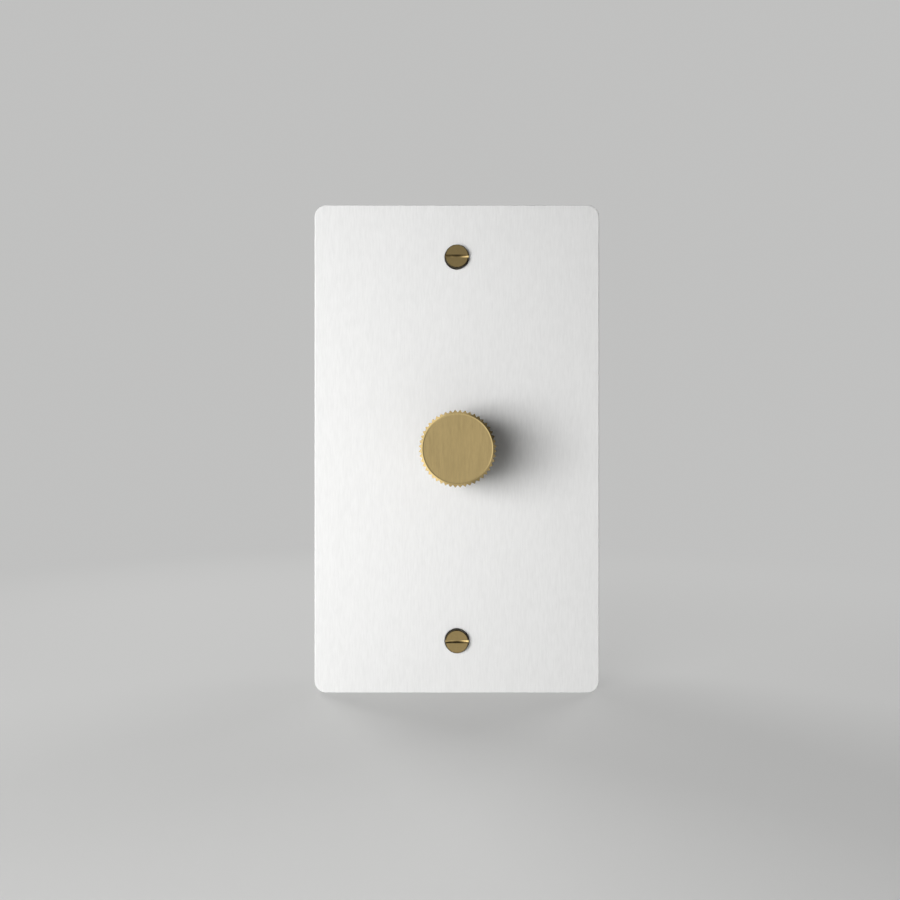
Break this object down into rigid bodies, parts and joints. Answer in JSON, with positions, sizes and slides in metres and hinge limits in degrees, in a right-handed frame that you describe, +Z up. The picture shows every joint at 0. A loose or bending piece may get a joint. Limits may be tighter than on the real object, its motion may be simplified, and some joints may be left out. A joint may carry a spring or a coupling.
{
  "type": "dimmer switch",
  "caption": "Rotary dimmer switch for a one-gang wall box: white screw-on face plate, knurled brass knob, push on/off.",
  "frame": {"origin": "midway between the two box-screw holes, on the back face of the strap's recessed centre", "axes": "+X to the right seen from the room, +Y into the wall along the knob's shaft, +Z up the wall"},
  "size_m": [0.072, 0.0593, 0.1234],
  "materials": {
    "white_plate": "satin white over a fine vertical brushed grain",
    "knob_brass": "fine brushed",
    "screw_brass": "turned, slightly dulled",
    "terminal_brass": "rolled and tumbled",
    "zinc_steel": "zinc plated",
    "nickel": "satin nickel plate",
    "shaft_aluminium": "turned",
    "green_steel": "green passivated",
    "gasket_rubber": "matt closed-cell",
    "case_plastic": "moulded, lightly sparked",
    "cover_plastic": "moulded",
    "cup_metal": "die cast",
    "rotor_plastic": "natural nylon",
    "phenolic": "paper laminate",
    "carbon": "carbon ink",
    "spring_bronze": "phosphor bronze strip",
    "board": "solder resist",
    "switch_plastic": "moulded",
    "contact_silver": "silver plated",
    "spring_steel": "music wire",
    "epoxy": "moulded epoxy",
    "tin": "tin plated copper",
    "ferrite": "sintered ferrite",
    "copper": "enamelled copper wire",
    "film_resin": "dipped resin",
    "can_sleeve": "shrink sleeve",
    "fuse_ceramic": "glazed ceramic",
    "resistor_film": "lacquered"
  },
  "bodies": {
    "fixed": {"face_plate": "white_plate", "wall_gasket": "gasket_rubber", "plate_screws": "screw_brass", "strap": "zinc_steel", "ground_screw": "green_steel", "threaded_bush": "nickel", "lock_washer": "zinc_steel", "bush_nut": "nickel", "pot_cup": "cup_metal", "track_wafer": "phenolic", "carbon_track": "carbon", "pot_pins": "tin", "circuit_board": "board", "switch_cover": "switch_plastic", "switch_case": "switch_plastic", "fixed_contacts": "contact_silver", "return_spring": "spring_steel", "triac_body": "epoxy", "triac_tab": "tin", "triac_legs": "tin", "triac_rivet": "shaft_aluminium", "choke_core": "ferrite", "choke_winding": "copper", "film_capacitor": "film_resin", "electrolytic_capacitor": "can_sleeve", "fuse": "fuse_ceramic", "resistors": "resistor_film", "case_cover": "cover_plastic", "back_case": "case_plastic", "case_screws": "zinc_steel", "terminal_plates": "terminal_brass", "terminal_screws": "terminal_brass"},
    "rotor_group": {"rotor": "rotor_plastic", "wiper": "spring_bronze"},
    "knob_group": {"knob": "knob_brass", "grub_screw": "zinc_steel", "shaft": "shaft_aluminium", "shaft_clip": "spring_steel"},
    "plunger_group": {"plunger": "rotor_plastic", "contact_bridge": "contact_silver"}
  },
  "joints": [
    {"name": "knob_turn", "type": "hinge", "parent": "fixed", "child": "rotor_group", "pos_m": [0, 0, 0], "axis": [0, 1, 0], "range_deg": [-150, 150]},
    {"name": "knob_push", "type": "slide", "parent": "rotor_group", "child": "knob_group", "axis": [0, 1, 0], "range_m": [0, 0.0016], "stiffness_N_per_m": 1000, "springref_m": -0.002},
    {"name": "plunger_slide", "type": "slide", "parent": "fixed", "child": "plunger_group", "axis": [0, 1, 0], "range_m": [0, 0.0016], "deforming": ["return_spring"]}
  ],
  "couplings": [
    {"joint": "plunger_slide", "follows": "knob_push", "ratio": 1}
  ]
}
